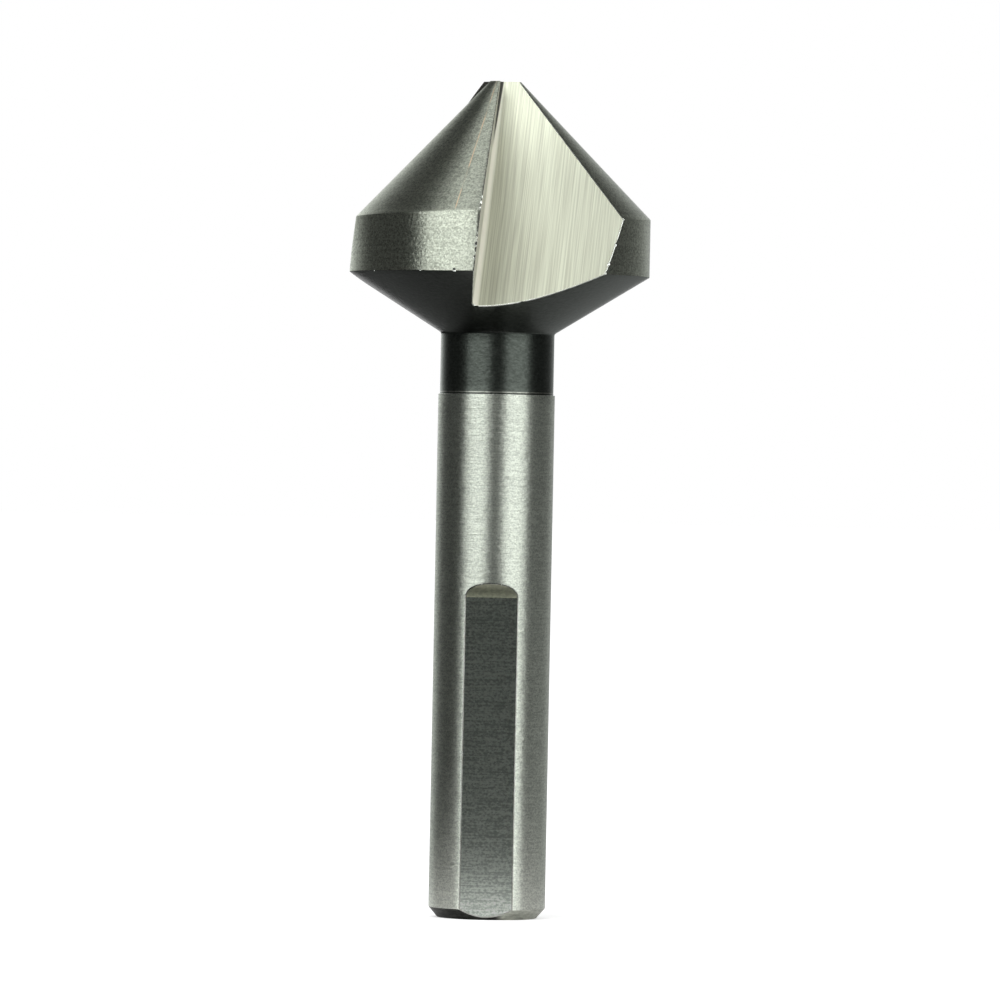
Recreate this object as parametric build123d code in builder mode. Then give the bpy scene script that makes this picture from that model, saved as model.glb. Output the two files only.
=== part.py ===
from build123d import *
from build123d.topology import SkipClean
from math import cos, radians, sin, tan
import os

# A three-flute countersink bit with a tri-flat shank, in one solid piece of high-speed steel.
# It stands on the end of its shank, with the axis on Z and the tip upwards. The origin is
# the centre of the shank's end face. The first flute and the first shank flat face -Y.

# Driving dimensions, in millimetres and degrees.

# Turned blank
shank_diameter = 12.0
shank_length = 53.8  # from the end face up to the neck
end_chamfer_width = 0.9
end_chamfer_height = 1.05
neck_diameter = 11.68
neck_length = 6.31
neck_fillet = 0.3
back_cone_angle = 116.2  # included angle of the cone between neck and head
head_diameter = 31.0
land_height = 6.12  # cylindrical stretch at the full diameter, at the cutting edge

# Cutting cone. It is backed off behind each edge along a helix.
cone_angle = 88.7  # included angle, of the 90 degree class
tip_diameter = 4.1
relief_lead = 2.83  # axial fall of the cone behind an edge in one full turn
edge_angle = -8.0  # place of the first cutting edge round the axis, from -Y towards +X
land_angle = 66.0  # from a cutting edge back to the heel
relief_overrun = 18.0  # the grinding runs on past both ends of each land

# Flutes. Each is a straight L-shaped channel: a rake face, a corner radius and a floor.
flute_turns = (0.0, 120.0, 234.0)  # uneven spacing, against chatter
rake_offsets = (1.44, 1.44, 0.64)  # from the axis to each rake face, at the top of the land
rake_turn = 1.95  # the rake face against the Y direction
floor_offset = 5.99  # from the axis to the floor along Y, at the top of the land
floor_turn = 12.86  # the floor against the X direction
flute_corner_radius = 0.5
flute_lean = 5.94  # sideways lean of the channel, towards +X at the tip
flute_slope = 22.5  # the channel leaves the axis by this angle towards the shank

# Three flats on the shank, for the jaws of a chuck
flat_count = 3
first_flat_turn = -1.0
flat_to_axis = 5.36
flat_length = 33.0  # straight part, from the end face
flat_runout_radius = 1.9

# Places that follow from the sizes above
shank_radius = shank_diameter / 2
neck_radius = neck_diameter / 2
head_radius = head_diameter / 2
tip_radius = tip_diameter / 2
cone_slope = tan(radians(cone_angle / 2))  # radius lost for each millimetre of height
back_slope = tan(radians(back_cone_angle / 2))
neck_top = shank_length + neck_length
land_bottom = neck_top + (head_radius - neck_radius) / back_slope
land_top = land_bottom + land_height
overall_length = land_top + (head_radius - tip_radius) / cone_slope

# Stock left above the cutting cone for the relief grinding
stock = 1.0


def blank():
    """The turned blank, with stock on the cutting cone and on nothing else.

    It is made in two stretches that meet where the flats end, with no cleaning, so that the
    round wall which a chuck grips above the flats stays a face of its own.
    """
    with SkipClean(), BuildPart() as turned:
        with BuildSketch(Plane.XZ):
            Polygon(
                (0, 0),
                (shank_radius - end_chamfer_width, 0),
                (shank_radius, end_chamfer_height),
                (shank_radius, flat_length),
                (0, flat_length),
                align=None,
            )
        revolve(axis=Axis.Z)
        with BuildSketch(Plane.XZ):
            outline = Polygon(
                (0, flat_length),
                (shank_radius, flat_length),
                (shank_radius, shank_length),
                (neck_radius, shank_length),
                (neck_radius, neck_top),
                (head_radius, land_bottom),
                (head_radius, land_top + stock),
                (tip_radius + stock * cone_slope, overall_length),
                (0, overall_length),
                align=None,
            )
            neck_corner = outline.vertices().sort_by_distance((neck_radius, neck_top))[0]
            fillet(neck_corner, radius=neck_fillet)
        revolve(axis=Axis.Z, clean=False)
    return turned.part


def relief_cutter():
    """What the relief grinding takes away over one land, with the heel end on the X axis.

    A section through the axis is swept along a helix, so that every line of the cone
    behind the edge falls away evenly, from the tip to the full diameter.
    """
    span = land_angle + 2 * relief_overrun
    rise = relief_lead * span / 360
    fall_at_start = relief_lead * (land_angle + relief_overrun) / 360
    inner_radius = tip_radius / 4
    outer_radius = head_radius + stock
    inner_height = overall_length + (tip_radius - inner_radius) / cone_slope - fall_at_start
    outer_height = land_top - stock / cone_slope - fall_at_start
    top = inner_height + 2 * stock
    with BuildPart() as cutter:
        with BuildLine() as path:
            Helix(relief_lead, rise, head_radius)
        with BuildSketch(Plane.XZ):
            Polygon(
                (inner_radius, inner_height),
                (outer_radius, outer_height),
                (outer_radius, top),
                (inner_radius, top),
                align=None,
            )
        sweep(path=path.line, is_frenet=True)
    return cutter.part


def flute_cutter(rake_offset):
    """The channel of a flute that faces -Y, longer than the head at both ends."""
    turn_b = tan(radians(rake_turn))
    turn_f = tan(radians(floor_turn))
    corner_y = (rake_offset * turn_f - floor_offset) / (1 + turn_b * turn_f)
    corner_x = turn_b * corner_y - rake_offset
    reach = head_diameter
    along_rake = (-reach * sin(radians(rake_turn)), -reach * cos(radians(rake_turn)))
    along_floor = (reach * cos(radians(floor_turn)), -reach * sin(radians(floor_turn)))
    corner = (corner_x, corner_y)
    rake_end = (corner_x + along_rake[0], corner_y + along_rake[1])
    floor_end = (corner_x + along_floor[0], corner_y + along_floor[1])
    far_end = (rake_end[0] + along_floor[0], rake_end[1] + along_floor[1])
    direction = (tan(radians(flute_lean)), tan(radians(flute_slope)), 1)
    with BuildPart() as cutter:
        with BuildSketch(Plane.XY.offset(land_top)):
            outline = Polygon(corner, rake_end, far_end, floor_end, align=None)
            inner_corner = outline.vertices().sort_by_distance((*corner, land_top))[0]
            fillet(inner_corner, radius=flute_corner_radius)
        extrude(amount=head_diameter, dir=direction, both=True)
    return cutter.part


def flat_cutter():
    """What one flat takes off the shank, with the round run-out of the grinding wheel."""
    wheel_top = flat_length + flat_runout_radius
    with BuildPart() as cutter:
        with BuildSketch(Plane.YZ):
            outline = Polygon(
                (-flat_to_axis, -stock),
                (-flat_to_axis, wheel_top),
                (-shank_diameter, wheel_top),
                (-shank_diameter, -stock),
                align=None,
            )
            wheel_corner = outline.vertices().sort_by_distance((-flat_to_axis, wheel_top))[0]
            fillet(wheel_corner, radius=flat_runout_radius)
        extrude(amount=shank_diameter, both=True)
    return cutter.part


turned_blank = blank()
relief = relief_cutter()
relief_start = edge_angle - 90 - land_angle - relief_overrun
flutes = [flute_cutter(rake_offset) for rake_offset in rake_offsets]
flat = flat_cutter()

with SkipClean(), BuildPart() as countersink_bit:
    # The blank is turned so that its seam falls in the first flute and flat.
    add(turned_blank, rotation=(0, 0, -90), clean=False)

    # The cone is relieved behind each cutting edge, then the flutes open the edges.
    for turn in flute_turns:
        add(relief, rotation=(0, 0, relief_start + turn), mode=Mode.SUBTRACT)
    for flute, turn in zip(flutes, flute_turns):
        add(flute, rotation=(0, 0, turn), mode=Mode.SUBTRACT)

    # The flats come last, and each runs out on the round of the shank.
    for index in range(flat_count):
        turn = first_flat_turn + index * 360 / flat_count
        add(flat, rotation=(0, 0, turn), mode=Mode.SUBTRACT)

countersink_bit.part.label = "countersink_bit"

os.makedirs("parts", exist_ok=True)
export_step(countersink_bit.part, "parts/countersink_bit.step")

print("neck top", round(neck_top, 2), "land", round(land_bottom, 2), round(land_top, 2))
print("volume mm3", round(countersink_bit.part.volume, 1), "size", countersink_bit.part.bounding_box().size)
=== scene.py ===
"""The looks of a countersink bit: a ground steel tool that stands on the end of its shank.

The bit is built again here as one fine mesh: a turned body with its relieved cone, cut by
three flutes and three flats. All sizes are in millimetres until they go into a mesh.
Angles round the axis start at -Y, the front, and grow towards +X.
"""

import math
import random

import bmesh
import bpy
from mathutils import Matrix, Vector


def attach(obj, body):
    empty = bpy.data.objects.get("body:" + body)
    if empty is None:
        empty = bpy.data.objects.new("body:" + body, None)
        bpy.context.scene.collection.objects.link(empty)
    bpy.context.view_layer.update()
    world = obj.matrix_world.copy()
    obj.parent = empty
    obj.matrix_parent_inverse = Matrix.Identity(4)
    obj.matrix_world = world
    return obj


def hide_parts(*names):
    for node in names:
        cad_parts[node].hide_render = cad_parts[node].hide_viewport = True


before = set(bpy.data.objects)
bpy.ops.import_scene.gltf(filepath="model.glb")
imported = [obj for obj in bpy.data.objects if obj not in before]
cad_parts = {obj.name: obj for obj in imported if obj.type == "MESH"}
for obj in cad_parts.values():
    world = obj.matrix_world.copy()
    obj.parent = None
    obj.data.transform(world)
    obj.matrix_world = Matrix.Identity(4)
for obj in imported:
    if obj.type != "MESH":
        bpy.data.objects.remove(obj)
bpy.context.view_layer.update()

MM = 0.001

# Sizes of the tool, the same as in the model of the part
SHANK_RADIUS = 6.0
SHANK_LENGTH = 53.8
END_CHAMFER_WIDTH = 0.9
END_CHAMFER_HEIGHT = 1.05
NECK_RADIUS = 5.84
NECK_TOP = 60.11
NECK_FILLET = 0.3
BACK_HALF_ANGLE = math.radians(58.1)
HEAD_RADIUS = 15.5
LAND_BOTTOM = 66.12
LAND_TOP = 72.24
CONE_HALF_ANGLE = math.radians(44.35)
TIP_RADIUS = 2.05
TIP_HEIGHT = 86.0
RELIEF_LEAD = 2.83
EDGE_ANGLE = -8.0
LAND_ANGLE = 66.0
RELIEF_OVERRUN = 18.0
FLUTE_TURNS = (0.0, 120.0, 234.0)
RAKE_OFFSETS = (1.44, 1.44, 0.64)
RAKE_TURN = math.radians(1.95)
FLOOR_OFFSET = 5.99
FLOOR_TURN = math.radians(12.86)
CORNER_RADIUS = 0.5
FLUTE_LEAN = math.radians(5.94)
FLUTE_SLOPE = math.radians(22.5)
FLAT_TURNS = (-1.0, 119.0, 239.0)
FLAT_TO_AXIS = 5.36
FLAT_LENGTH = 33.0
RUNOUT_RADIUS = 1.9

# Rounding of the edges
EDGE_BREAK = 0.07  # turned edges
TIP_BREAK = 0.12
CUT_BREAK = 0.075  # edges that the flutes and flats leave
HEAD_CLAMP_FROM = 62.0  # the head, above the hollow fillet to the neck

# How finely the mesh is cut, and what counts as one point, one plane or one edge
COLUMNS = 288
ARC_STEPS = 5
CORNER_STEPS = 8  # inner corner of a flute
WHEEL_STEPS = 12  # run-out of a flat
CUTTER_MARGIN = 2.0  # how far the flats' cutter starts below the end face
SAME_POINT = 0.001
NO_LENGTH = 0.0005
SHORT_EDGE = 2.2 * CUT_BREAK  # shorter edges are welded to the cut edge they start from
CUT_BEND = math.radians(12)  # the least bend of an edge that is rounded
FLAT_BEND = math.radians(1)  # a bend that still counts as flat
SMOOTH_ANGLE = math.radians(17)
PLANE_AREA = 12.0  # ground faces larger than this are plane
SAME_PLANE = 0.999  # cosine of the angle between faces of one plane

RUBBED_TONE = (0.42, 0.42, 0.38, 1.0)  # bare steel at the foot of the blackened neck
PAINTED_CORNER_LIGHT = (0.95, 0.93, 0.8, 1.0)  # the rounded inner corner of the flutes, painted pale as light, like the floor's reflection
FLUTE_TONE = (0.84, 0.825, 0.69)
FLUTE_TONE_LIMIT = 0.95  # no stroke is lighter
FLUTE_MARKS = 0.006  # depth of the grinding marks, in millimetres
FLAT_MARKS = 0.006
BLACK_MARKS = 0.02

# The flutes' grain map: each flute's strokes are shifted along by this for each degree round
# the axis, which keeps the flutes apart. AFTER_FIRST lies between the first two.
GRAIN_PER_DEGREE = 10
FLUTE_MIDDLE = 22  # degrees from a flute's own direction to the middle of its opening
AFTER_FIRST = (600.0, 601.0)

# The painted shade in the inner corner of the flutes, darkest towards the tip
SHADE_HEIGHTS = (76.5, 86.0)
SHADE_WIDTHS = (-0.33, 0.16)  # at those heights, in millimetres
SHADE_FADE = (77.0, 79.0)
SHADE_WIDER = 0.5  # in the second and third flute
SHADE_DEPTH = 0.95

# A painted glint: a thin warm highlight line on the cone, by its turn round the axis
GLINT_TURN = -17.3
GLINT_TONE = (0.95, 0.72, 0.5, 1.0)
GLINT_WIDTH = (0.03, 0.1)  # full and fading, to either side of its middle

# Wear: chips on the first flute's edges as (height, size), and on the land's lower edge as
# (angle, size)
NICK_SEED = 5
CUTTING_EDGE_NICKS = (
    (73.7, 0.16), (73.1, 0.22), (72.5, 0.18), (69.6, 0.15), (68.8, 0.2), (68.3, 0.16),
    (67.5, 0.2), (76.4, 0.12),
)
HEEL_NICKS = ((71.9, 0.16), (69.2, 0.15), (67.2, 0.17), (66.3, 0.14), (75.1, 0.12))
LAND_NICKS = ((-17.0, 0.2), (-31.0, 0.1), (-55.0, 0.1))
OTHER_NICKS = 4  # on each of the two other cutting edges
OTHER_NICK_HEIGHTS = (67.0, 78.0)
OTHER_NICK_SIZES = (0.12, 0.2)
NICK_DEPTHS = (0.6, 0.9)  # the shape of a nick, as shares of its size
NICK_LENGTHS = (1.1, 1.7)


# ---------------------------------------------------------------- turned body

def relief(angle):
    """How far the cone has fallen behind the nearest cutting edge at this angle."""
    span = LAND_ANGLE + 2 * RELIEF_OVERRUN
    for turn in FLUTE_TURNS:
        behind = (EDGE_ANGLE + RELIEF_OVERRUN + turn - angle) % 360
        if behind <= span:
            return RELIEF_LEAD * (behind - RELIEF_OVERRUN) / 360
    return -RELIEF_LEAD * RELIEF_OVERRUN / 360


def arc(corner, before, after, radius, steps):
    """Points of a round that replaces a corner between two neighbours in the profile."""
    corner = Vector(corner)
    to_before = (Vector(before) - corner).normalized()
    to_after = (Vector(after) - corner).normalized()
    half = to_before.angle(to_after) / 2
    cut = radius / math.tan(half)
    centre = corner + (to_before + to_after).normalized() * (radius / math.sin(half))
    start = corner + to_before * cut - centre
    end = corner + to_after * cut - centre
    turn = start.angle(end)
    points = []
    for i in range(steps + 1):
        share = i / steps
        a = math.sin((1 - share) * turn) / math.sin(turn)
        b = math.sin(share * turn) / math.sin(turn)
        points.append(centre + start * a + end * b)
    return points


def straight(start, end, steps):
    """Points inside a straight stretch, without its ends."""
    start, end = Vector(start), Vector(end)
    return [start.lerp(end, i / steps) for i in range(1, steps)]


def profile(drop):
    """The outline of the body in one half plane, from the end face to the tip.

    drop is how far the cone has fallen here. Each item is (radius, height, surface).
    """
    top = LAND_TOP - drop
    tip = TIP_RADIUS - drop * math.tan(CONE_HALF_ANGLE)
    corners = [
        ((0.0, 0.0), "end", None, 4),
        ((SHANK_RADIUS - END_CHAMFER_WIDTH, 0.0), "chamfer", EDGE_BREAK, 3),
        ((SHANK_RADIUS, END_CHAMFER_HEIGHT), "shank", EDGE_BREAK, 30),
        ((SHANK_RADIUS, SHANK_LENGTH), "step", EDGE_BREAK * 0.6, 1),
        ((NECK_RADIUS, SHANK_LENGTH), "neck", EDGE_BREAK * 0.4, 6),
        ((NECK_RADIUS, NECK_TOP), "back", NECK_FILLET, 12),
        ((HEAD_RADIUS, LAND_BOTTOM), "land", EDGE_BREAK, 6),
        ((HEAD_RADIUS, top), "cone", EDGE_BREAK * 0.7, 24),
        ((tip, TIP_HEIGHT), "tip", TIP_BREAK, 2),
        ((0.0, TIP_HEIGHT), None, None, 0),
    ]
    rows = []
    surface_before = None
    for i, (corner, surface, radius, steps) in enumerate(corners):
        if radius is None:
            rows.append((Vector(corner), surface or surface_before))
            last = Vector(corner)
        else:
            points = arc(corner, corners[i - 1][0], corners[i + 1][0], radius, ARC_STEPS)
            middle = len(points) // 2
            for j, point in enumerate(points):
                rows.append((point, surface if j >= middle else surface_before))
            last = points[-1]
        if surface is None:
            break
        following = corners[i + 1]
        if following[2] is None:
            target = Vector(following[0])
        else:
            target = arc(
                following[0], corner, corners[i + 2][0], following[2], ARC_STEPS
            )[0]
        for point in straight(last, target, steps):
            rows.append((point, surface))
        surface_before = surface
    return rows


def polar(radius, angle, height):
    """A point in metres from a radius and height in millimetres and an angle in degrees."""
    a = math.radians(angle)
    return Vector((radius * math.sin(a), -radius * math.cos(a), height)) * MM


def turned_body(slots):
    """The whole body of revolution, closed at both ends, with the relief in its cone."""
    bm = bmesh.new()
    columns = [profile(relief(360 * i / COLUMNS)) for i in range(COLUMNS)]
    surfaces = [row[1] for row in columns[0]]
    count = len(surfaces)
    bottom = bm.verts.new((0, 0, 0))
    top = bm.verts.new((0, 0, TIP_HEIGHT * MM))
    rings = []
    for row in range(1, count - 1):
        ring = []
        for i, column in enumerate(columns):
            point = column[row][0]
            ring.append(bm.verts.new(polar(point.x, 360 * i / COLUMNS, point.y)))
        rings.append(ring)
    for i in range(COLUMNS):
        j = (i + 1) % COLUMNS
        face = bm.faces.new((bottom, rings[0][j], rings[0][i]))
        face.material_index = slots["end"]
        face = bm.faces.new((top, rings[-1][i], rings[-1][j]))
        face.material_index = slots["tip"]
        for k in range(len(rings) - 1):
            low, high = rings[k], rings[k + 1]
            face = bm.faces.new((low[i], low[j], high[j], high[i]))
            face.material_index = slots[surfaces[k + 1]]
    bm.normal_update()
    return bm


# ---------------------------------------------------------------- cutters

def prism(section, direction, low, high, materials):
    """A closed prism through a flat section: section points are (x, y, z) in millimetres."""
    bm = bmesh.new()
    ends = []
    for share in (low, high):
        ends.append([bm.verts.new((Vector(p) + direction * share) * MM) for p in section])
    count = len(section)
    for i in range(count):
        j = (i + 1) % count
        face = bm.faces.new((ends[0][i], ends[0][j], ends[1][j], ends[1][i]))
        face.material_index = materials[i]
    bm.faces.new(list(reversed(ends[0])))
    bm.faces.new(ends[1])
    bmesh.ops.recalc_face_normals(bm, faces=bm.faces)
    return bm


def flute_section(rake_offset):
    """Section of a flute that faces -Y, at the top of the land."""
    turn_r, turn_f = math.tan(RAKE_TURN), math.tan(FLOOR_TURN)
    y = (rake_offset * turn_f - FLOOR_OFFSET) / (1 + turn_r * turn_f)
    corner = Vector((turn_r * y - rake_offset, y))
    reach = 2 * HEAD_RADIUS
    along_rake = Vector((-math.sin(RAKE_TURN), -math.cos(RAKE_TURN))) * reach
    along_floor = Vector((math.cos(FLOOR_TURN), -math.sin(FLOOR_TURN))) * reach
    rake_end, floor_end = corner + along_rake, corner + along_floor
    round_corner = arc(corner, rake_end, floor_end, CORNER_RADIUS, CORNER_STEPS)
    outline = [rake_end, *round_corner, floor_end, corner + along_rake + along_floor]
    return [Vector((p.x, p.y, LAND_TOP)) for p in outline]


def flute_cutter(slots, rake_offset):
    """The channel of a flute that faces -Y, longer than the head at both ends."""
    section = flute_section(rake_offset)
    sides = [slots["floor"]] * len(section)
    sides[0] = slots["rake"]
    direction = Vector((math.tan(FLUTE_LEAN), math.tan(FLUTE_SLOPE), 1))
    return prism(section, direction, -2 * HEAD_RADIUS, 2 * HEAD_RADIUS, sides)


def flat_cutter(slots):
    """The grinding wheel's path along the first flat, with its round corner at the top."""
    wheel_top = FLAT_LENGTH + RUNOUT_RADIUS
    corner = (-FLAT_TO_AXIS, wheel_top)
    far = -2 * SHANK_RADIUS
    start = (-FLAT_TO_AXIS, -CUTTER_MARGIN)
    round_corner = arc(corner, start, (far, wheel_top), RUNOUT_RADIUS, WHEEL_STEPS)
    outline = [Vector(start), *round_corner]
    outline += [Vector((far, wheel_top)), Vector((far, -CUTTER_MARGIN))]
    section = [Vector((0, p.x, p.y)) for p in outline]
    sides = [slots["flat"]] + [slots["runout"]] * (len(section) - 1)
    reach = 2 * SHANK_RADIUS
    return prism(section, Vector((1, 0, 0)), -reach, reach, sides)


def body_radius(height):
    """Radius of the head at a height, before the relief."""
    back = HEAD_RADIUS - (LAND_BOTTOM - height) * math.tan(BACK_HALF_ANGLE)
    cone = HEAD_RADIUS - (height - LAND_TOP) * math.tan(CONE_HALF_ANGLE)
    return min(HEAD_RADIUS, back, cone)


def cutting_edge_point(height, rake_offset):
    """Where the cutting edge of a flute that faces -Y is at a height."""
    radius = body_radius(height)
    corner = flute_section(rake_offset)[1]
    rise = height - LAND_TOP
    x = corner.x + rise * math.tan(FLUTE_LEAN) + math.tan(RAKE_TURN) * (-radius - corner.y)
    return Vector((x, -math.sqrt(radius * radius - x * x), height))


def heel_point(height):
    """Where the floor of a flute that faces -Y comes out of the head at a height."""
    radius = body_radius(height)
    rise = height - LAND_TOP
    slope = math.tan(FLOOR_TURN)
    at_axis = -FLOOR_OFFSET + rise * (math.tan(FLUTE_SLOPE) + slope * math.tan(FLUTE_LEAN))
    a, b, c = 1 + slope * slope, -2 * slope * at_axis, at_axis * at_axis - radius * radius
    x = (-b + math.sqrt(b * b - 4 * a * c)) / (2 * a)
    return Vector((x, at_axis - slope * x, height))


def nick_cutter(slot):
    """Small chips along the edges of the head, as use and handling leave them."""
    dice = random.Random(NICK_SEED)
    places = []
    for height, size in CUTTING_EDGE_NICKS:
        places.append((cutting_edge_point(height, RAKE_OFFSETS[0]), size))
    for height, size in HEEL_NICKS:
        places.append((heel_point(height), size))
    for angle, size in LAND_NICKS:
        places.append((polar(HEAD_RADIUS, angle, LAND_BOTTOM) / MM, size))
    for turn, rake_offset in list(zip(FLUTE_TURNS, RAKE_OFFSETS))[1:]:
        turned = Matrix.Rotation(math.radians(turn), 3, "Z")
        for _ in range(OTHER_NICKS):
            point = cutting_edge_point(dice.uniform(*OTHER_NICK_HEIGHTS), rake_offset)
            places.append((turned @ point, dice.uniform(*OTHER_NICK_SIZES)))
    bm = bmesh.new()
    for point, size in places:
        turn = Matrix.Rotation(dice.uniform(0, math.pi), 4, "X")
        turn = turn @ Matrix.Rotation(dice.uniform(0, math.pi), 4, "Z")
        depth, length = dice.uniform(*NICK_DEPTHS), dice.uniform(*NICK_LENGTHS)
        stretch = Matrix.Diagonal((1.0, depth, length, 1.0))
        place = Matrix.Translation(point * MM) @ stretch @ turn
        bmesh.ops.create_icosphere(bm, subdivisions=2, radius=size * MM, matrix=place)
    for face in bm.faces:
        face.material_index = slot
    return bm


def to_object(bm, name, materials):
    """A scene object made from a bmesh, which is freed."""
    mesh = bpy.data.meshes.new(name)
    bm.to_mesh(mesh)
    bm.free()
    for material in materials:
        mesh.materials.append(material)
    obj = bpy.data.objects.new(name, mesh)
    bpy.context.scene.collection.objects.link(obj)
    return obj


def cut(body, cutter_bm, turn, materials, solver="EXACT"):
    """Takes the cutter, turned round the axis, out of the body."""
    tool = to_object(cutter_bm, "cutter", materials)
    tool.data.transform(Matrix.Rotation(math.radians(turn), 4, "Z"))
    modifier = body.modifiers.new("cut", "BOOLEAN")
    modifier.operation = "DIFFERENCE"
    modifier.solver = solver
    modifier.object = tool
    bpy.context.view_layer.update()
    depsgraph = bpy.context.evaluated_depsgraph_get()
    result = bpy.data.meshes.new_from_object(body.evaluated_get(depsgraph))
    body.modifiers.clear()
    body.data = result
    bpy.data.objects.remove(tool)


def break_edges(body, cut_slots, edge_slot):
    """Takes the sharpness off the edges that the flutes and flats leave."""
    bm = bmesh.new()
    bm.from_mesh(body.data)
    bmesh.ops.remove_doubles(bm, verts=bm.verts, dist=SAME_POINT * MM)

    def is_cut_edge(edge):
        if len(edge.link_faces) != 2:
            return False
        a, b = edge.link_faces
        if (a.material_index in cut_slots) == (b.material_index in cut_slots):
            return False
        if max(v.co.z for v in edge.verts) > (TIP_HEIGHT - TIP_BREAK) * MM:
            return False
        return edge.calc_face_angle() > CUT_BEND

    on_cut = {v for e in bm.edges if is_cut_edge(e) for v in e.verts}
    targets = {}
    for edge in bm.edges:
        a, b = edge.verts
        if edge.calc_length() < SHORT_EDGE * MM and (a in on_cut) != (b in on_cut):
            keep, drop = (a, b) if a in on_cut else (b, a)
            targets.setdefault(drop, keep)
    bmesh.ops.weld_verts(bm, targetmap=targets)
    bmesh.ops.dissolve_degenerate(bm, edges=bm.edges, dist=NO_LENGTH * MM)
    bm.normal_update()
    inner = [
        e for e in bm.edges
        if len(e.link_faces) == 2
        and {f.material_index for f in e.link_faces} == {SLOT_OF["floor"]}
        and e.calc_face_angle() < FLAT_BEND
    ]
    bmesh.ops.dissolve_edges(bm, edges=inner, use_verts=False)
    edges = [e for e in bm.edges if is_cut_edge(e)]
    bmesh.ops.bevel(
        bm, geom=edges, offset=CUT_BREAK * MM, offset_type="OFFSET", segments=3,
        profile=0.5, affect="EDGES", clamp_overlap=False, material=edge_slot,
    )
    for vert in bm.verts:
        vert.co.z = min(max(vert.co.z, 0.0), TIP_HEIGHT * MM)
        # A few vertices come out of the bevel outside the turned envelope, and go back to it.
        limit = body_radius(vert.co.z / MM) * MM
        reach = vert.co.xy.length
        if vert.co.z > HEAD_CLAMP_FROM * MM and reach > limit:
            vert.co.xy = vert.co.xy * (limit / reach)
    bmesh.ops.dissolve_degenerate(bm, edges=bm.edges, dist=NO_LENGTH * MM)
    bm.to_mesh(body.data)
    bm.free()


# ---------------------------------------------------------------- materials

class Nodes:
    """Short forms for building a node material."""

    def __init__(self, name):
        self.material = bpy.data.materials.new(name)
        self.material.use_nodes = True
        self.tree = self.material.node_tree
        self.tree.nodes.clear()
        self.output = self.tree.nodes.new("ShaderNodeOutputMaterial")

    def add(self, kind, values=None, **settings):
        node = self.tree.nodes.new("ShaderNode" + kind)
        for key, value in settings.items():
            setattr(node, key, value)
        for key, value in (values or {}).items():
            if isinstance(value, bpy.types.NodeSocket):
                self.tree.links.new(value, node.inputs[key])
            else:
                node.inputs[key].default_value = value
        return node

    def link(self, source, target):
        self.tree.links.new(source, target)

    def math(self, operation, a, b=0.0):
        return self.add("Math", {0: a, 1: b}, operation=operation).outputs[0]

    def scaled(self, colour, factor):
        return self.add("VectorMath", {0: colour, 3: factor}, operation="SCALE").outputs[0]

    def mixed(self, share, first, second):
        node = self.add("MixRGB", {"Fac": share, "Color1": first, "Color2": second})
        return node.outputs["Color"]

    def part(self, vector, axis):
        return self.add("SeparateXYZ", {0: vector}).outputs[axis]

    def ramp(self, value, stops):
        node = self.add("ValToRGB", {"Fac": value})
        elements = node.color_ramp.elements
        while len(elements) < len(stops):
            elements.new(0.5)
        for element, (position, colour) in zip(elements, stops):
            element.position = position
            element.color = (*colour, 1)
        return node.outputs["Color"]

    def step(self, value, low, high, out_low=0.0, out_high=1.0):
        """A soft step: out_low below low, out_high above high."""
        node = self.add("MapRange", {
            "Value": value, "From Min": low, "From Max": high,
            "To Min": out_low, "To Max": out_high,
        }, interpolation_type="SMOOTHSTEP")
        return node.outputs["Result"]

    def window(self, value, low, high, soft):
        """One between low and high, fading to nothing over soft on either side."""
        rise = self.step(value, low - soft, low + soft)
        fall = self.step(value, high - soft, high + soft, 1.0, 0.0)
        return self.math("MULTIPLY", rise, fall)

    def side_step(self, azimuth, side):
        """A soft step towards the back, on the side of the axis that side stands on."""
        turned = self.math("MULTIPLY", azimuth, math.copysign(1.0, side["to"]))
        return self.step(turned, abs(side["from"]), abs(side["to"]), 0.0, side["level"])

    def place(self):
        """Object coordinates in millimetres."""
        return self.scaled(self.add("TexCoord").outputs["Object"], 1 / MM)

    def stretched(self, vector, scale):
        return self.add("Mapping", {"Vector": vector, "Scale": scale}).outputs["Vector"]

    def noise(self, vector, scale, detail=3.0, roughness=0.6):
        node = self.add(
            "TexNoise",
            {"Vector": vector, "Scale": scale, "Detail": detail, "Roughness": roughness},
        )
        return node.outputs["Fac"]

    def finish(self, shader):
        self.link(shader, self.output.inputs["Surface"])
        return self.material


def painted_glint_line(n, place):
    """A painted glint: a thin warm highlight line that runs down the front of the cone, as a
    mask.
    """
    turn = math.radians(GLINT_TURN)
    split = n.add("SeparateXYZ", {0: place}).outputs
    x = n.math("MULTIPLY", split["X"], math.cos(turn))
    y = n.math("MULTIPLY", split["Y"], math.sin(turn))
    beside = n.math("ABSOLUTE", n.math("ADD", x, y), 0.0)
    in_front = n.step(split["Y"], -1.0, 0.0, 1.0, 0.0)
    line = n.math("MULTIPLY", n.step(beside, *GLINT_WIDTH, 1.0, 0.0), in_front)
    broken = n.noise(n.stretched(place, (0.2, 0.2, 0.5)), 1.0, 2.0, 0.6)
    line = n.math("MULTIPLY", line, n.step(split["Z"], LAND_TOP, LAND_TOP + 0.3))
    return n.math("MULTIPLY", line, n.step(broken, 0.38, 0.62, 0.1, 0.75))


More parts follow.
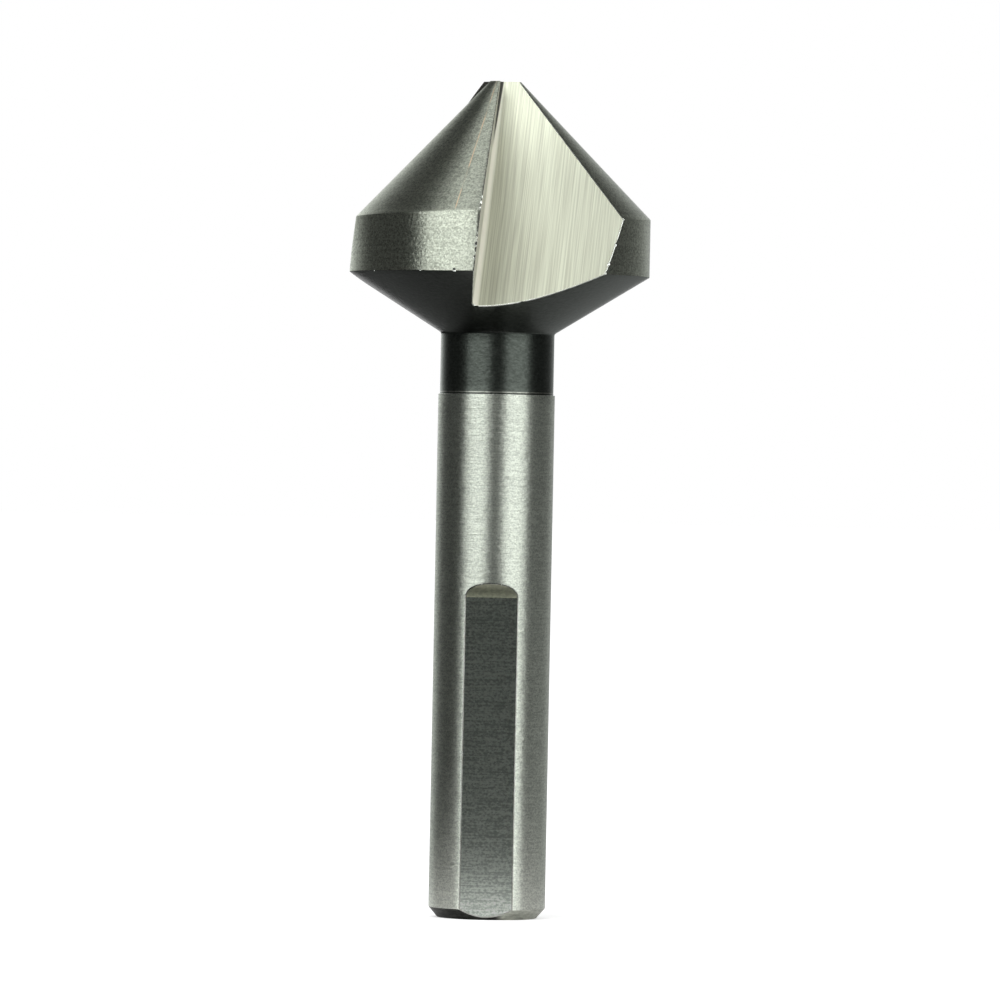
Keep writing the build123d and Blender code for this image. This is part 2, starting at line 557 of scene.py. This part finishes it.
def turned_steel(name, dark, light, grain, relief_depth, roughness, anisotropy, line=False):
    """Steel turned or ground round the axis.

    grain is (scale round the axis, scale along it) of the fine marks, per millimetre.
    relief_depth is how deep the marks are, in millimetres. line adds the painted glint line,
    and paints shade on the cone, a fifth darker than the land below it.
    """
    n = Nodes(name)
    place = n.place()
    marks = n.noise(n.stretched(place, (grain[0], grain[0], grain[1])), 1.0, 3.0, 0.55)
    rings = n.noise(n.stretched(place, (0.12, 0.12, grain[1] * 1.3)), 1.0, 2.0, 0.5)
    pits = n.noise(n.stretched(place, (5.5, 5.5, 6.5)), 1.0, 1.0, 0.5)
    mixed = n.math("ADD", n.math("MULTIPLY", marks, 0.7), n.math("MULTIPLY", rings, 0.3))
    speckle = n.math("ADD", n.math("MULTIPLY", mixed, 0.5), n.math("MULTIPLY", pits, 0.5))
    tone = n.ramp(speckle, [(0.4, dark), (0.6, light)])
    if line:
        # Painted shade: the cone is a fifth darker than the land below it
        painted_dimming = n.step(n.part(place, "Z"), LAND_TOP - 0.1, LAND_TOP + 0.2, 1.0, 0.8)
        # Painted glint: a thin warm highlight line down the front of the cone
        tone = n.mixed(painted_glint_line(n, place), n.scaled(tone, painted_dimming), GLINT_TONE)
    bumped = n.add("Bump", {"Strength": 1.0, "Distance": relief_depth * MM, "Height": mixed})
    tangent = n.add("Tangent", direction_type="RADIAL", axis="Z").outputs["Tangent"]
    shader = n.add("BsdfPrincipled", {
        "Base Color": tone, "Metallic": 1.0, "Roughness": roughness,
        "Anisotropic": anisotropy, "Anisotropic Rotation": 0.25, "Tangent": tangent,
        "Normal": bumped.outputs["Normal"],
    })
    return n.finish(shader.outputs[0])


def dark_corner(n, away, along, height):
    """How much painted shade lies in the inner corner of a flute: a band that narrows down
    from the tip.

    It is wider in the second and third flute, which along tells apart.
    """
    width = n.add("MapRange", {
        "Value": height, "From Min": SHADE_HEIGHTS[0], "From Max": SHADE_HEIGHTS[1],
        "To Min": SHADE_WIDTHS[0], "To Max": SHADE_WIDTHS[1],
    }).outputs["Result"]
    width = n.math("ADD", width, n.step(along, *AFTER_FIRST, 0.0, SHADE_WIDER))
    inside = n.math("SUBTRACT", width, away)
    return n.math("MULTIPLY", n.step(inside, -0.06, 0.06), n.step(height, *SHADE_FADE))


def flute_steel(name, streaks, metallic):
    """The flutes, ground in long straight strokes. streaks is the contrast of the strokes.

    With metallic at 1 the inner corner is painted pale, standing in for the floor's
    reflected light, with a band of painted shade towards the tip. Below 1 painted shade
    darkens the whole face towards the tip.
    """
    n = Nodes(name)
    uv = n.add("UVMap", uv_map="grain").outputs["UV"]
    hair = n.noise(n.stretched(uv, (12.0, 0.16, 1)), 1.0, 1.0, 0.5)
    fine = n.noise(n.stretched(uv, (6.3, 0.06, 1)), 1.0, 1.0, 0.5)
    broad = n.noise(n.stretched(uv, (1.3, 0.07, 1)), 1.0, 2.0, 0.5)
    mixed = n.math("ADD", n.math("MULTIPLY", hair, 0.38), n.math("MULTIPLY", fine, 0.47))
    mixed = n.math("ADD", mixed, n.math("MULTIPLY", broad, 0.15))
    dark = tuple(c * (1 - streaks) for c in FLUTE_TONE)
    light = tuple(min(c * (1 + streaks), FLUTE_TONE_LIMIT) for c in FLUTE_TONE)
    tone = n.ramp(mixed, [(0.39, dark), (0.6, light)])
    away, along, height = n.part(uv, "X"), n.part(uv, "Y"), n.part(n.place(), "Z")
    # Painted light: the flutes are brighter towards the tip, and a little brighter towards the
    # inner corner
    painted_light_falloff = n.step(height, 62.0, 75.0, 0.73, 0.75)
    painted_light_falloff = n.math("ADD", painted_light_falloff, n.step(height, 75.0, 85.0, 0.0, 0.28))
    painted_dimming = n.step(away, 1.0, 15.0, 1.03, 0.95)
    tone = n.scaled(tone, n.math("MULTIPLY", painted_light_falloff, painted_dimming))
    # Painted shade towards the tip: across the whole face below full metal, in the inner
    # corner with full metal
    if metallic < 1.0:
        share = n.step(along, *AFTER_FIRST, 0.5, 1.0)
        painted_shade = n.math("MULTIPLY", n.step(height, 76.0, 84.0), share)
    else:
        painted_shade = dark_corner(n, away, along, height)
        # Painted light: the inner corner loses its metal and takes a pale tone, as bright as
        # the floor's reflection
        metallic = n.step(away, 0.0, 0.35, 0.05, 1.0)
        tone = n.mixed(metallic, PAINTED_CORNER_LIGHT, tone)
    tone = n.scaled(tone, n.math("SUBTRACT", 1.0, n.math("MULTIPLY", painted_shade, SHADE_DEPTH)))
    bumped = n.add("Bump", {"Strength": 1.0, "Distance": FLUTE_MARKS * MM, "Height": mixed})
    tangent = n.add("Tangent", direction_type="UV_MAP", uv_map="grain").outputs["Tangent"]
    shader = n.add("BsdfPrincipled", {
        "Base Color": tone, "Metallic": metallic, "Roughness": 0.5,
        "Anisotropic": 0.85, "Tangent": tangent, "Normal": bumped.outputs["Normal"],
    })
    return n.finish(shader.outputs[0])


def chamfer_steel():
    """The end of the shank: painted shade, with painted light on one side."""
    n = Nodes("turned_chamfer")
    place = n.place()
    marks = n.noise(n.stretched(place, (1.0, 1.0, 3.0)), 1.4, 3.0, 0.6)
    # Painted shade darkens the whole end; painted light makes its side towards +X lighter
    tone = n.ramp(marks, [(0.35, (0.016, 0.016, 0.014)), (0.65, (0.055, 0.055, 0.05))])
    painted_light_side = n.ramp(marks, [(0.35, (0.3, 0.31, 0.27)), (0.65, (0.5, 0.51, 0.45))])
    mixed = n.mixed(n.step(n.part(place, "X"), 0.8, 1.7), tone, painted_light_side)
    shader = n.add("BsdfPrincipled", {"Base Color": mixed, "Metallic": 1.0, "Roughness": 0.42})
    return n.finish(shader.outputs[0])


def edge_steel():
    """The thin bright line where two ground faces meet. It is darker lower down, along the
    flats.
    """
    n = Nodes("ground_edge")
    place = n.place()
    marks = n.noise(place, 1.6, 2.0, 0.6)
    tone = n.ramp(marks, [(0.35, (0.7, 0.7, 0.64)), (0.6, (0.95, 0.95, 0.92))])
    tone = n.scaled(tone, n.step(n.part(place, "Z"), 40.0, 60.0, 0.5, 1.0))
    shader = n.add("BsdfPrincipled", {"Base Color": tone, "Metallic": 1.0, "Roughness": 0.22})
    return n.finish(shader.outputs[0])


def blackened_steel(name, dark, light, roughness, coat):
    """The black finish of the neck and the back of the head, scuffed off at the neck's foot.
    """
    n = Nodes(name)
    marks = n.noise(n.stretched(n.place(), (1.0, 1.0, 2.0)), 2.2, 3.0, 0.6)
    tone = n.ramp(marks, [(0.35, dark), (0.65, light)])
    height = n.part(n.place(), "Z")
    rim = n.window(height, SHANK_LENGTH + 0.16, SHANK_LENGTH + 0.26, 0.05)
    rim = n.math("MULTIPLY", rim, n.step(marks, 0.3, 0.55, 0.35, 0.9))
    tone = n.mixed(rim, tone, RUBBED_TONE)
    shade = n.step(height, SHANK_LENGTH + 0.08, SHANK_LENGTH + 0.13, 0.1, 1.0)
    tone = n.scaled(tone, shade)
    bumped = n.add("Bump", {"Strength": 1.0, "Distance": BLACK_MARKS * MM, "Height": marks})
    shader = n.add("BsdfPrincipled", {
        "Base Color": tone, "Metallic": 1.0, "Roughness": roughness,
        "Normal": bumped.outputs["Normal"], "Coat Weight": coat, "Coat Roughness": 0.22,
    })
    return n.finish(shader.outputs[0])


def flat_steel(name, dark, light, roughness, anisotropy):
    """The flats, ground by a wheel across the shank."""
    n = Nodes(name)
    place = n.place()
    lines = n.noise(n.stretched(place, (0.3, 0.3, 6.0)), 1.0, 2.0, 0.5)
    weave = n.noise(n.stretched(place, (3.4, 3.4, 4.4)), 1.0, 3.0, 0.65)
    specks = n.noise(n.stretched(place, (2.8, 2.8, 2.8)), 1.0, 4.0, 0.75)
    mixed = n.math("ADD", n.math("MULTIPLY", lines, 0.35), n.math("MULTIPLY", weave, 0.65))
    tone = n.ramp(mixed, [(0.43, dark), (0.57, light)])
    height = n.part(place, "Z")
    # Painted reflection: the flats are lighter near the foot, where they mirror the pale floor
    tone = n.scaled(tone, n.step(height, 0.0, 8.0, 1.35, 1.0))
    often = n.step(height, 4.0, 30.0, 0.72, 0.64)
    white = n.step(n.math("SUBTRACT", specks, often), 0.0, 0.05)
    tone = n.scaled(tone, n.math("ADD", 1.0, white))
    bumped = n.add("Bump", {"Strength": 1.0, "Distance": FLAT_MARKS * MM, "Height": mixed})
    tangent = n.add("Tangent", direction_type="RADIAL", axis="Z").outputs["Tangent"]
    shader = n.add("BsdfPrincipled", {
        "Base Color": tone, "Metallic": 1.0, "Roughness": roughness,
        "Anisotropic": anisotropy, "Anisotropic Rotation": 0.25, "Tangent": tangent,
        "Normal": bumped.outputs["Normal"],
    })
    return n.finish(shader.outputs[0])


SHANK = turned_steel(
    "ground_shank", dark=(0.57, 0.585, 0.535), light=(0.86, 0.88, 0.8), grain=(1.3, 4.5),
    relief_depth=0.06, roughness=0.43, anisotropy=0.87,
)
CONE = turned_steel(
    "ground_cone", dark=(0.43, 0.44, 0.38), light=(0.8, 0.82, 0.715), grain=(2.6, 3.2),
    relief_depth=0.04, roughness=0.36, anisotropy=0.93, line=True,
)
CHAMFER = chamfer_steel()
NECK = blackened_steel(
    "blackened_neck", dark=(0.052, 0.059, 0.052), light=(0.092, 0.102, 0.092),
    roughness=0.29, coat=0.38,
)
BLACK = blackened_steel(
    "blackened_back", dark=(0.022, 0.0245, 0.02), light=(0.038, 0.042, 0.036),
    roughness=0.4, coat=0.5,
)
FLAT = flat_steel(
    "ground_flat", dark=(0.44, 0.475, 0.435), light=(0.76, 0.81, 0.74),
    roughness=0.3, anisotropy=0.9,
)
RUNOUT = flat_steel(
    "ground_runout", dark=(0.33, 0.33, 0.255), light=(0.44, 0.44, 0.335),
    roughness=0.48, anisotropy=0.0,
)
FLUTE = flute_steel("ground_flute", streaks=0.17, metallic=1.0)
RAKE = flute_steel("ground_rake", streaks=0.05, metallic=0.15)
EDGE = edge_steel()

MATERIALS = [SHANK, CONE, BLACK, FLAT, RUNOUT, FLUTE, RAKE, NECK, EDGE, CHAMFER]
SLOT_OF = {
    "end": 9, "chamfer": 9, "shank": 0, "step": 0, "neck": 7, "back": 2,
    "land": 1, "cone": 1, "tip": 1, "flat": 3, "runout": 4, "floor": 5, "rake": 6,
    "edge": 8,
}


# ---------------------------------------------------------------- the bit

def add_grain_map(body):
    """A UV map in millimetres for the flutes: away from the inner corner, and along it."""
    mesh = body.data
    layer = mesh.uv_layers.new(name="grain")
    direction = Vector((math.tan(FLUTE_LEAN), math.tan(FLUTE_SLOPE), 1)).normalized()
    across = Vector((math.cos(FLOOR_TURN), -math.sin(FLOOR_TURN), 0))
    normal = direction.cross(across).normalized()
    flute_slots = (SLOT_OF["floor"], SLOT_OF["rake"])
    flutes = []
    for turn, rake_offset in zip(FLUTE_TURNS, RAKE_OFFSETS):
        section = flute_section(rake_offset)
        corner = (section[1] + section[-3]) / 2
        flutes.append((Matrix.Rotation(math.radians(-turn), 3, "Z"), corner, turn))
    for face in mesh.polygons:
        if face.material_index not in flute_slots:
            continue
        centre = face.center / MM
        angle = math.degrees(math.atan2(centre.x, -centre.y))
        back, corner, turn = min(
            flutes, key=lambda flute: abs((angle - flute[2] - FLUTE_MIDDLE + 180) % 360 - 180)
        )
        for loop in face.loop_indices:
            point = back @ mesh.vertices[mesh.loops[loop].vertex_index].co / MM - corner
            away = point.dot(across) + abs(point.dot(normal)) * 0.2
            layer.data[loop].uv = (away, point.dot(direction) + GRAIN_PER_DEGREE * turn)


def build_bit():
    """The finished mesh: turned, cut, nicked, with its edges broken and its shading set."""
    body = to_object(turned_body(SLOT_OF), "countersink_body", MATERIALS)
    for turn, rake_offset in zip(FLUTE_TURNS, RAKE_OFFSETS):
        cut(body, flute_cutter(SLOT_OF, rake_offset), turn, MATERIALS)
    for turn in FLAT_TURNS:
        cut(body, flat_cutter(SLOT_OF), turn, MATERIALS)
    cut(body, nick_cutter(SLOT_OF["edge"]), 0.0, MATERIALS, solver="MANIFOLD")
    cut_slots = {SLOT_OF[name] for name in ("rake", "floor", "flat", "runout")}
    break_edges(body, cut_slots, SLOT_OF["edge"])
    add_grain_map(body)
    mesh = body.data
    mesh.shade_smooth()
    mesh.set_sharp_from_angle(angle=SMOOTH_ANGLE)
    plane_slots = {SLOT_OF[name] for name in ("rake", "floor", "flat")}
    ground = [face for face in mesh.polygons if face.material_index in plane_slots]
    planes = [face.normal.copy() for face in ground if face.area > PLANE_AREA * MM * MM]
    for face in ground:
        if any(face.normal.dot(normal) > SAME_PLANE for normal in planes):
            for loop in face.loop_indices:
                mesh.edges[mesh.loops[loop].edge_index].use_edge_sharp = True
    return body


bit = build_bit()
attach(bit, "root")
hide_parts("countersink_bit")


# ---------------------------------------------------------------- camera, stage and light

CAMERA_DISTANCE = 807.9
CAMERA_HEIGHT = 46.2
CAMERA_SIDE = 0.561
CAMERA_LENS = 282.6
CAMERA_PITCH = 0.004
CAMERA_ROLL = 0.01954


def make_camera():
    """A long lens from the front, slightly rolled, at about half the height of the bit."""
    data = bpy.data.cameras.new("camera")
    data.lens = CAMERA_LENS
    data.sensor_width = 36.0
    data.clip_start = 0.01
    data.clip_end = 20.0
    camera = bpy.data.objects.new("camera", data)
    bpy.context.scene.collection.objects.link(camera)
    right = Vector((math.cos(CAMERA_ROLL), 0, math.sin(CAMERA_ROLL)))
    forward = Vector((0, math.cos(CAMERA_PITCH), -math.sin(CAMERA_PITCH)))
    up = right.cross(forward).normalized()
    right = forward.cross(up)
    turn = Matrix((right, up, -forward)).transposed().to_4x4()
    place = Vector((CAMERA_SIDE, -CAMERA_DISTANCE, CAMERA_HEIGHT)) * MM
    camera.matrix_world = Matrix.Translation(place) @ turn
    bpy.context.scene.camera = camera


BIT_MIDDLE = 43.0  # height, in millimetres, that the softboxes are set up round
WALL_RADIUS = 2.4
WALL_ENDS = (-166.0, 172.0)  # the flags leave the white backdrop behind the bit open
FLOOR_OPEN = 20.0  # the floor is bare this close to the axis, in millimetres
FLAG_LEVEL = 0.08
WALL_ROWS = 30
WALL_COLUMNS = 80
FLAGS_OVER_FLOOR = 0.0003  # in metres
STUDIO_TINT = (0.95, 1.0, 0.965, 1)
SOFTBOX_LEFT = {
    "azimuth": (-62, -15.5), "elevation": (-45, 66), "level": 2.05, "on_floor": 0.04,
    "high": 0.3,  # how much brighter it is high up
}
SOFTBOX_RIGHT = {
    "azimuth": (18, 66), "elevation": (-45, 62), "level": 1.95, "on_floor": 0.3, "high": 0.0,
}
BACK_LEFT = {"from": -119.0, "to": -172.0, "level": 1.35}
BACK_RIGHT = {"from": 128.0, "to": 164.0, "level": 0.42}
FLOOR_LEFT = {"from": -84.0, "to": -134.0, "level": 0.17}
FLOOR_RIGHT = {"from": 62.0, "to": 100.0, "level": 0.4}
FAR_RIGHT = {"from": 96.0, "to": 146.0, "level": 0.3}  # beyond those two
FLOOR_LIT = (0.09, 0.2)  # how far from the axis those two reach, in metres
FLAG_ON_FLOOR = 0.015
WORLD_LIGHT = 0.75
LAMP_PLACE = (-0.5, -0.6, 1.4)
LAMP_SIZE = 0.8
LAMP_POWER = 6.0
FLOOR_TONE = (0.8, 0.8, 0.8, 1)
FLOOR_SIZE = 6.0
WHITE = (1, 1, 1, 1)


def sky_light(n, azimuth, elevation):
    """Light from above the floor: dark flags, two softboxes and a pale back."""
    total = FLAG_LEVEL
    for box in (SOFTBOX_LEFT, SOFTBOX_RIGHT):
        inside = n.window(azimuth, *box["azimuth"], 3.0)
        inside = n.math("MULTIPLY", inside, n.window(elevation, *box["elevation"], 4.0))
        higher = n.math("MULTIPLY", n.window(elevation, 36.0, 58.0, 6.0), box["high"])
        inside = n.math("MULTIPLY", inside, n.math("ADD", 1.0, higher))
        total = n.math("ADD", total, n.math("MULTIPLY", inside, box["level"]))
    low = n.step(elevation, 15.0, 45.0, 1.0, 0.0)
    for side in (BACK_LEFT, BACK_RIGHT):
        back = n.side_step(azimuth, side)
        total = n.math("ADD", total, n.math("MULTIPLY", back, low))
    return total


def floor_light(n, azimuth, away):
    """Light from what lies over the floor: flags, and the softboxes' light on it."""
    total = FLAG_ON_FLOOR
    for box in (SOFTBOX_LEFT, SOFTBOX_RIGHT):
        inside = n.window(azimuth, *box["azimuth"], 3.0)
        lit = n.math("MULTIPLY", inside, box["level"] * box["on_floor"])
        total = n.math("ADD", total, lit)
    near = n.step(away, *FLOOR_LIT, 1.0, 0.0)
    for side in (FLOOR_LEFT, FLOOR_RIGHT):
        total = n.math("ADD", total, n.math("MULTIPLY", n.side_step(azimuth, side), near))
    far = n.math("MULTIPLY", n.side_step(azimuth, FAR_RIGHT), n.math("SUBTRACT", 1.0, near))
    return n.math("ADD", total, far)


def studio_material(name, over_floor):
    n = Nodes(name)
    coords = n.add("TexCoord").outputs["Object"]
    split = n.add("SeparateXYZ", {0: coords}).outputs
    behind = n.math("MULTIPLY", split["Y"], -1.0)
    azimuth = n.math("MULTIPLY", n.math("ARCTAN2", split["X"], behind), 180 / math.pi)
    flat = n.add("CombineXYZ", {0: split["X"], 1: split["Y"]}).outputs[0]
    away = n.add("VectorMath", {0: flat}, operation="LENGTH").outputs["Value"]
    if over_floor:
        strength = floor_light(n, azimuth, away)
    else:
        elevation = n.math("MULTIPLY", n.math("ARCTAN2", split["Z"], away), 180 / math.pi)
        strength = sky_light(n, azimuth, elevation)
    shader = n.add("Emission", {"Color": STUDIO_TINT, "Strength": strength})
    return n.finish(shader.outputs[0])


def only_in_reflections(obj):
    """Makes an object part of the stage that lights nothing but what mirrors it."""
    obj.visible_camera = False
    obj.visible_diffuse = False
    obj.visible_shadow = False
    obj.visible_transmission = False


def wall_angle(column):
    """The direction of a column of the wall, in radians from the front."""
    return math.radians(WALL_ENDS[0] + (WALL_ENDS[1] - WALL_ENDS[0]) * column / WALL_COLUMNS)


def studio_wall():
    """A dome of softboxes and flags round the bit, seen only by its polished faces."""
    bm = bmesh.new()
    rows = []
    for i in range(WALL_ROWS + 1):
        e = math.radians(-1 + 91 * i / WALL_ROWS)
        row = []
        for j in range(WALL_COLUMNS + 1):
            a = wall_angle(j)
            row.append(bm.verts.new((
                WALL_RADIUS * math.sin(a) * math.cos(e),
                -WALL_RADIUS * math.cos(a) * math.cos(e),
                WALL_RADIUS * math.sin(e) + BIT_MIDDLE * MM,
            )))
        rows.append(row)
    for low, high in zip(rows, rows[1:]):
        for j in range(WALL_COLUMNS):
            bm.faces.new((low[j], low[j + 1], high[j + 1], high[j]))
    wall = to_object(bm, "studio_wall", [studio_material("studio_wall", False)])
    only_in_reflections(wall)


def floor_flags():
    """Flags and softbox light that lie over the floor, open close round the bit."""
    bm = bmesh.new()
    rings = []
    for radius in (FLOOR_OPEN * MM, WALL_RADIUS):
        ring = []
        for j in range(WALL_COLUMNS + 1):
            x, y = radius * math.sin(wall_angle(j)), -radius * math.cos(wall_angle(j))
            ring.append(bm.verts.new((x, y, FLAGS_OVER_FLOOR)))
        rings.append(ring)
    for j in range(WALL_COLUMNS):
        bm.faces.new((rings[0][j], rings[1][j], rings[1][j + 1], rings[0][j + 1]))
    flags = to_object(bm, "floor_flags", [studio_material("floor_flags", True)])
    only_in_reflections(flags)


def make_stage():
    """A pale floor that goes white for the camera and keeps the shadow of the bit."""
    n = Nodes("pale_floor")
    path = n.add("LightPath").outputs
    mirrored = n.math("MAXIMUM", path["Is Glossy Ray"], path["Is Transmission Ray"])
    glow = n.math("MULTIPLY", path["Is Camera Ray"], 0.5)
    glow = n.math("ADD", glow, n.math("MULTIPLY", mirrored, 0.2))
    diffuse = n.add("BsdfDiffuse", {"Color": FLOOR_TONE})
    white = n.add("Emission", {"Color": WHITE, "Strength": glow})
    both = n.add("AddShader", {0: diffuse.outputs[0], 1: white.outputs[0]})
    floor_material = n.finish(both.outputs[0])
    bm = bmesh.new()
    bmesh.ops.create_grid(bm, x_segments=1, y_segments=1, size=FLOOR_SIZE)
    floor = to_object(bm, "floor", [floor_material])


def make_world():
    """An even soft light, which is plain white where it is seen."""
    world = bpy.data.worlds.new("studio")
    bpy.context.scene.world = world
    world.use_nodes = True
    tree = world.node_tree
    tree.nodes.clear()
    out = tree.nodes.new("ShaderNodeOutputWorld")
    light_path = tree.nodes.new("ShaderNodeLightPath")
    seen = light_path.outputs["Is Camera Ray"]
    for other in ("Is Glossy Ray", "Is Transmission Ray"):
        either = tree.nodes.new("ShaderNodeMath")
        either.operation = "MAXIMUM"
        tree.links.new(seen, either.inputs[0])
        tree.links.new(light_path.outputs[other], either.inputs[1])
        seen = either.outputs[0]
    mix = tree.nodes.new("ShaderNodeMixShader")
    tree.links.new(seen, mix.inputs[0])
    for index, strength in ((1, WORLD_LIGHT), (2, 1.0)):
        sky = tree.nodes.new("ShaderNodeBackground")
        sky.inputs["Color"].default_value = WHITE
        sky.inputs["Strength"].default_value = strength
        tree.links.new(sky.outputs[0], mix.inputs[index])
    tree.links.new(mix.outputs[0], out.inputs[0])


def make_lamp():
    """One soft lamp from above on the left, for the floor."""
    data = bpy.data.lights.new("lamp_above", "AREA")
    data.shape = "DISK"
    data.size = LAMP_SIZE
    data.energy = LAMP_POWER
    lamp = bpy.data.objects.new("lamp_above", data)
    lamp.location = LAMP_PLACE
    lamp.rotation_euler = (-lamp.location).to_track_quat("-Z", "Y").to_euler()
    lamp.visible_camera = False
    lamp.visible_glossy = False
    bpy.context.scene.collection.objects.link(lamp)


make_camera()
make_stage()
make_world()
studio_wall()
floor_flags()
make_lamp()
bpy.context.scene.view_settings.view_transform = "Standard"
